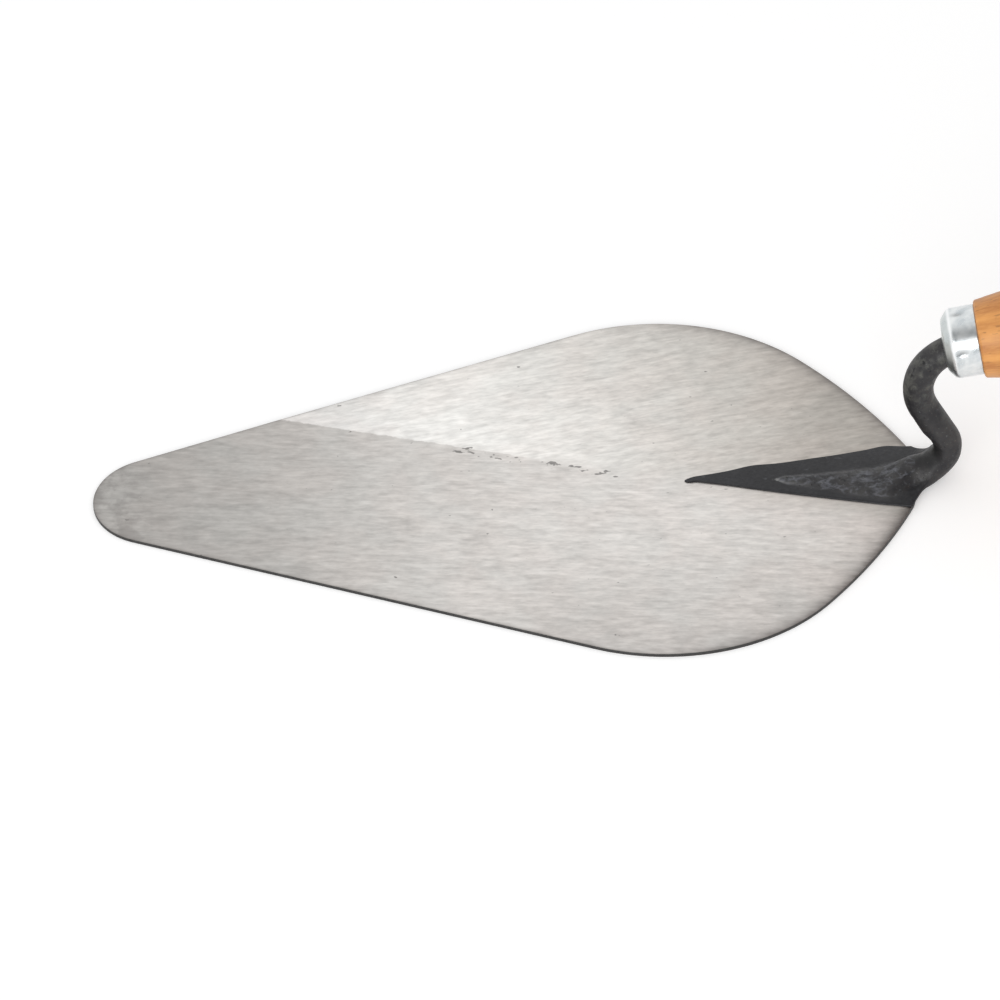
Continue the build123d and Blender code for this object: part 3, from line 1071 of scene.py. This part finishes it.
def grain(vector, per_metre, detail=3.0, roughness=0.55, distortion=0.0):
    inputs = {
        "Vector": vector,
        "Scale": per_metre,
        "Detail": detail,
        "Roughness": roughness,
        "Distortion": distortion,
    }
    return add("TexNoise", inputs, noise_dimensions="3D").outputs[0]


def patches(shift, per_metre, detail, span, most=1.0, roughness=0.55):
    """Scattered patches: 0 between them, and `most` inside."""
    value = grain(placed(shift=shift), per_metre, detail, roughness)
    return fade(value, *span, 0.0, most)


def stored(name):
    """A number that the mesh holds at each point."""
    return add("Attribute", attribute_name=name).outputs["Fac"]


def new_material(name):
    material = bpy.data.materials.new(name)
    open_tree(material)
    return material


def finished(material, **values):
    """Gives a material its shader, whose inputs are named with underscores for spaces."""
    shader = add("BsdfPrincipled", {key.replace("_", " "): value for key, value in values.items()})
    add("OutputMaterial", {0: shader.outputs[0]})
    return material


def bump(height, depth, under=None):
    inputs = {"Height": height, "Distance": depth, "Strength": 1.0}
    if under is not None:
        inputs["Normal"] = under
    return add("Bump", inputs).outputs[0]


def facet_mask():
    """1 on the left facet and 0 on the right one, with a ragged line between them.

    Returned with it are the distance to the left of that line, and the part's X and Y.
    """
    split = add("SeparateXYZ", {0: add("TexCoord").outputs["Object"]})
    x, y, z = split.outputs
    along = calc("SUBTRACT", FOOT_POINT_X, x)
    away = calc("SUBTRACT", y, times(along, RIDGE_SLOPE))
    ragged = grain(placed(), 420.0, 2.0)
    ragged = times(calc("SUBTRACT", ragged, 0.5), 1.6 * MM)
    away = calc("ADD", away, ragged)
    # The line is crisp at the flank and fades out towards the foot.
    soft = fade_linear(along, 2 * MM, 45 * MM, 9 * MM, 0.35 * MM)
    mask = fade(calc("DIVIDE", away, soft), -1.0, 1.0)
    # The underside is one flat face.
    top = fade(z, 0.2 * MM, 0.4 * MM)
    return times(mask, top), away, x, y


def grinding(direction, seed):
    """Short scratches along one direction: hair-fine, plain and broad, each from -1 to 1."""
    turned = placed(turn=(0, 0, -direction), shift=(seed, seed, 0))
    layers = []
    for stretch, per_metre, detail in ((0.18, 1250.0, 2.0), (0.24, 500.0, 3.0), (0.6, 110.0, 5.0)):
        vector = stretched(turned, (stretch, 1, 1))
        value = grain(vector, per_metre, detail, 0.6, 0.15)
        layers.append(fade_linear(value, *NOISE_SPAN, -1.0, 1.0))
    return layers


def scratches(mask):
    """The scratches of both facets, which were ground in different directions."""
    right = grinding(radians(-5), 0.31)
    left = grinding(radians(12), 0.77)
    mixed = []
    for a, b in zip(right, left):
        mixed.append(add("Mix", {0: mask, 2: a, 3: b}, data_type="FLOAT").outputs[0])
    return mixed


def right_facet_reflection(x, y):
    """The right facet's colour, with painted reflection: darker than the left facet, brightest in front
    of the foot.
    """
    front = fade(x, TIP_X + 10 * MM, -25 * MM)
    heel = fade(x, 0.0, HEEL_X)
    flank = fade(y, -15 * MM, -HALF_WIDTH, 0.0, 0.5)
    flank = times(flank, fade(x, -70 * MM, -25 * MM))
    return overlaid(RIGHT_TIP, (front, RIGHT_FRONT), (heel, RIGHT_HEEL), (flank, RIGHT_FLANK))


def left_facet_reflection(x, y):
    """The left facet's colour, with painted reflection: brighter than the right facet, brightest along
    the ridge's front and brown by the heel.
    """
    return overlaid(
        LEFT_TIP,
        (fade(x, -110 * MM, -60 * MM), LEFT_FRONT),
        (fade(x, -70 * MM, HEEL_X), LEFT_REAR),
        (fade(x, 30 * MM, 62 * MM, 0.0, 0.45), LEFT_HEEL),
        (fade(y, 15 * MM, HALF_WIDTH, 0.0, 0.3), LEFT_FLANK),
    )


def grinding_pits(away, x):
    """Small pits that the grinding left, more of them beside the ridge."""
    speck = grain(placed(stretch=(0.6, 1, 1)), 560.0, 2.0)
    near = calc("ABSOLUTE", calc("ADD", away, PITTED_ASIDE))
    near = fade(near, 0.6 * MM, 2.6 * MM, 0.195, 0.0)
    start = fade(x, PITTED[0] - 3 * MM, PITTED[0] + 3 * MM)
    end = fade(x, PITTED[1] + 3 * MM, PITTED[1] - 3 * MM)
    near = times(near, fade_linear(times(start, end), 0.0, 1.0, 0.3, 1.0))
    return fade(calc("ADD", speck, near), 0.73, 0.79)


def ground_steel():
    material = new_material("ground_steel")
    mask, away, x, y = facet_mask()
    hair, streak, cloud = scratches(mask)
    grit = grain(placed(stretch=(0.5, 1, 1), shift=(0.9, 0.1, 0)), 640.0, 2.0, 0.6)
    grit = fade_linear(grit, *NOISE_SPAN, -1.0, 1.0)
    shade = weighted((streak, 0.44), (hair, 0.2), (grit, 0.24), (cloud, 0.11))
    level = combine_grey(fade_linear(shade, -1.0, 1.0, 0.76, 1.2))
    tint = patches((0.5, 0, 0), 55.0, 3.0, (0.35, 0.65))
    tint = blend_colour(tint, WARM_TINT, COOL_TINT)
    # The near right facet is painted darker and the far left one brighter: painted reflection over the
    # ground steel's grey.
    colour = blend_colour(mask, right_facet_reflection(x, y), left_facet_reflection(x, y))
    colour = blend_colour(1.0, colour, level, "MULTIPLY")
    colour = blend_colour(1.0, colour, tint, "MULTIPLY")
    smudge = patches((0.2, 0.4, 0), 38.0, 5.0, (0.60, 0.75), 0.3, 0.6)
    # The tip is worn in patches.
    worn = patches((0.7, 0, 0), 150.0, 4.0, (0.42, 0.62), 0.6, 0.6)
    worn = times(worn, fade(x, TIP_X + 26 * MM, TIP_X + 4 * MM))
    # Painted shade darkens the rim round the back, and a thin line along the whole edge.
    rim = times(stored("rim"), fade_linear(shade, -1.0, 1.0, 0.95, 0.7))
    pit = grinding_pits(away, x)
    colour = overlaid(
        colour,
        (smudge, SMUDGE),
        (worn, WORN_TIP),
        (rim, RIM_SHADE),
        (times(pit, 0.7), PIT_SHADE),
    )
    height = weighted((streak, 0.6), (hair, 0.4), (pit, -1.5))
    return finished(
        material, Base_Color=colour, Metallic=1.0,
        Roughness=fade_linear(shade, -1.0, 1.0, 0.48, 0.34),
        Normal=bump(height, 0.012 * MM),
    )


def sheared_edge():
    material = new_material("sheared_edge")
    lines = grain(placed(stretch=(1, 1, 0.2)), 900.0, 3.0)
    return finished(
        material, Base_Color=blend_colour(lines, EDGE_DARK, EDGE_LIGHT),
        Metallic=0.6, Roughness=0.5,
        Normal=bump(lines, 0.05 * MM),
    )


def hollow_rims(broken):
    """The rib is pitted like hammered iron: 1 on the rims round its hollows."""
    inputs = {"Vector": placed(stretch=(0.8, 1, 1)), "Scale": 420.0, "Randomness": 1.0}
    cells = add("TexVoronoi", inputs, feature="DISTANCE_TO_EDGE").outputs["Distance"]
    rims = times(fade(cells, 0.16, 0.02), fade(broken, 0.40, 0.62, 0.0, 0.42))
    return times(rims, fade_linear(stored("crest_rub_highlight"), 0.0, 0.5))


def forge_black():
    material = new_material("forge_black")
    here = placed()
    patch = grain(here, 160.0, 3.0)
    fine = grain(here, 900.0, 4.0, 0.65)
    broken = grain(placed(stretch=(0.6, 1, 1)), 460.0, 4.0, 0.6, 0.3)
    rib = stored("rib")
    dull = fade(patch, 0.35, 0.65)
    smooth_part = blend_colour(dull, FOOT_DARK, FOOT_LIGHT)
    rough_part = blend_colour(dull, RIB_DARK, RIB_LIGHT)
    # Where the scale is worn through, the steel shows as a cold grey; along the crest this grey is also
    # painted highlight.
    scuff_and_highlight = calc("ADD", broken, times(stored("crest_rub_highlight"), 0.2))
    scuff_and_highlight = fade(scuff_and_highlight, 0.60, 0.88)
    # Painted highlight round the rib's nose, broken up.
    nose = times(stored("nose"), fade(broken, 0.35, 0.6, 0.4, 0.9))
    # Soft lighter patches, mostly high on the neck: scuffs, with painted highlight growing towards the
    # top.
    upper = fade(add("SeparateXYZ", {0: here}).outputs[2], 24 * MM, 38 * MM, 0.15, 0.75)
    worn = patches((0, 0.3, 0), 260.0, 5.0, (0.44, 0.68), 1.0, 0.7)
    specks = patches((0.6, 0, 0), 1300.0, 2.0, (0.63, 0.75), 0.4)
    holes = patches((0.1, 0, 0), 520.0, 2.0, (0.36, 0.28))
    rims = hollow_rims(broken)
    colour = overlaid(
        smooth_part,
        (rib, rough_part),
        (times(scuff_and_highlight, 0.55), SCUFF_AND_HIGHLIGHT),
        (nose, NOSE_HIGHLIGHT),
        (times(worn, times(upper, rib)), NECK_SCUFF_AND_HIGHLIGHT),
        (times(specks, rib), SPECK),
        (times(holes, rib), HOLE),
        (rims, HOLLOW_RIM),
        # Painted shade in the crease inside the lower bend.
        (times(stored("fold"), 0.9), CREASE_SHADE),
    )
    height = weighted((fine, 0.6), (patch, 0.4), (rims, 0.8))
    return finished(
        material, Base_Color=colour, Metallic=0.15,
        Roughness=fade_linear(fine, 0.3, 0.7, 0.38, 0.6),
        Normal=bump(height, 0.12 * MM),
    )


def zinc_plate():
    material = new_material("zinc_plate")
    here = placed()
    cloud = grain(here, 210.0, 3.0)
    fine = grain(here, 1500.0, 2.0)
    colour = overlaid(
        PLATE_DULL,
        (fade(cloud, 0.3, 0.7), PLATE_CLEAR),
        (times(stored("front"), 0.6), PLATE_FRONT),
        # A painted highlight along the ring at the end of the rounded front.
        (times(stored("ring"), 0.9), RING_HIGHLIGHT),
        # Painted shade inside the punched dimples.
        (times(stored("dent"), 0.6), DIMPLE_SHADE),
    )
    return finished(
        material, Base_Color=colour, Metallic=1.0,
        Roughness=fade_linear(cloud, 0.3, 0.7, 0.24, 0.34),
        Normal=bump(fine, 0.01 * MM),
    )


def growth_rings(turned):
    """The tree's rings, whose middle lies a little beside the handle."""
    inputs = {
        "Vector": stretched(turned, (0.12, 1, 1), (0, 0.03, -0.05)),
        "Scale": 95.0,
        "Distortion": 3.0,
        "Detail": 2.0,
        "Detail Scale": 1.2,
    }
    return add("TexWave", inputs, wave_type="RINGS", rings_direction="X").outputs["Fac"]


def beech():
    material = new_material("lacquered_beech")
    turned = placed(turn=(0, HANDLE_RISE, 0))
    fibre = stretched(turned, (0.08, 1, 1))
    broad = grain(fibre, 260.0, 3.0)
    fine = grain(fibre, 1400.0, 3.0, 0.6)
    fleck = grain(stretched(turned, (0.25, 1, 1)), 1100.0, 1.0)
    colour = overlaid(
        WOOD_DARK,
        (fade(broad, 0.3, 0.7), WOOD_LIGHT),
        (times(growth_rings(turned), 0.2), WOOD_RING),
        (fade(fleck, 0.62, 0.72, 0.0, 0.55), WOOD_FLECK),
        (fade(fine, 0.35, 0.7, 0.0, 0.3), WOOD_SHEEN),
    )
    return finished(
        material, Base_Color=colour,
        Roughness=fade_linear(fine, 0.3, 0.7, 0.42, 0.55),
        Coat_Weight=0.15, Coat_Roughness=0.3,
        Normal=bump(fine, 0.03 * MM),
    )


# ======== the studio

def backdrop_material():
    """Near-white paper: plain to the light, and brighter to the eye and in reflections."""
    material = new_material("paper")
    path = add("LightPath")
    diffuse = add("BsdfDiffuse", {"Color": PAPER})
    seen = calc("MAXIMUM", path.outputs["Is Camera Ray"], path.outputs["Is Glossy Ray"])
    glow = add("Emission", {"Color": WHITE, "Strength": times(seen, PAPER_GLOW)})
    both = add("AddShader", {0: diffuse.outputs[0], 1: glow.outputs[0]})
    add("OutputMaterial", {0: both.outputs[0]})
    return material


def make_floor():
    marks = [FLOOR_SIZE * (i / FLOOR_CELLS - 0.5) for i in range(FLOOR_CELLS + 1)]
    points = [(x, y, 0.0) for x in marks for y in marks]
    faces = []
    for i in range(FLOOR_CELLS):
        for j in range(FLOOR_CELLS):
            a = i * len(marks) + j
            faces.append((a, a + len(marks), a + len(marks) + 1, a + 1))
    floor = make_object("floor", points, faces)
    floor.data.materials.append(backdrop_material())


def make_world():
    world = bpy.data.worlds.new("studio")
    bpy.context.scene.world = world
    open_tree(world)
    path = add("LightPath")
    seen = calc("MAXIMUM", path.outputs["Is Camera Ray"], path.outputs["Is Transmission Ray"])
    # The room behind the photographer is darker than the paper, and shows only in reflections.
    direction = add("TexCoord").outputs["Generated"]
    toward_room = add("VectorMath", {0: direction, 1: ROOM_DIRECTION}, operation="DOT_PRODUCT")
    mirrored = fade(toward_room.outputs["Value"], ROOM_EDGE, 1.0, 1.0, ROOM_LEVEL)
    inputs = {0: path.outputs["Is Glossy Ray"], 2: SKY_LEVEL, 3: mirrored}
    strength = add("Mix", inputs, data_type="FLOAT").outputs[0]
    strength = calc("MAXIMUM", strength, seen)
    background = add("Background", {"Color": WHITE, "Strength": strength})
    add("OutputWorld", {0: background.outputs[0]})


def softbox(name, place, target, width, height, power):
    lamp = bpy.data.lights.new(name, "AREA")
    lamp.shape = "ELLIPSE"
    lamp.size = width
    lamp.size_y = height
    lamp.energy = power
    thing = bpy.data.objects.new(name, lamp)
    thing.location = place
    thing.rotation_euler = (Vector(target) - Vector(place)).to_track_quat("-Z", "Y").to_euler()
    bpy.context.scene.collection.objects.link(thing)
    return thing


def make_camera():
    blade_length = HEEL_X - TIP_X
    aim = Vector((TIP_X + AIM_ALONG * blade_length, AIM_ASIDE, 0))
    back = Vector((
        -sin(VIEW_YAW) * cos(VIEW_ELEVATION),
        -cos(VIEW_YAW) * cos(VIEW_ELEVATION),
        sin(VIEW_ELEVATION),
    ))
    level = Vector((cos(VIEW_YAW), -sin(VIEW_YAW), 0))
    upward = back.cross(level)
    right = cos(VIEW_ROLL) * level + sin(VIEW_ROLL) * upward
    upward = back.cross(right)
    camera = bpy.data.objects.new("camera", bpy.data.cameras.new("camera"))
    camera.data.lens = LENS
    camera.data.sensor_width = SENSOR
    camera.data.clip_end = 50
    place = Matrix((right, upward, back)).transposed().to_4x4()
    place.translation = aim + back * VIEW_DISTANCE
    camera.matrix_world = place
    bpy.context.scene.collection.objects.link(camera)
    bpy.context.scene.camera = camera


# ======== putting it together

make_camera()
bpy.context.scene.view_settings.view_transform = "Standard"
make_floor()
make_world()
softbox("key", KEY_PLACE, KEY_TARGET, *KEY_SIZE, KEY_POWER)

blade = make_blade()
blade.data.materials.append(ground_steel())
blade.data.materials.append(sheared_edge())
shank = make_shank()
shank.data.materials.append(forge_black())
ferrule = make_ferrule()
ferrule.data.materials.clear()
ferrule.data.materials.append(zinc_plate())
handle = make_handle()
handle.data.materials.append(beech())

PIECES = [
    (blade, "blade", "ground_steel"),
    (shank, "shank", "forge_black"),
    (ferrule, "ferrule", "zinc_plate"),
    (handle, "handle", "lacquered_beech"),
]
for piece, node, slot in PIECES:
    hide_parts(node)
    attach(piece, "root")
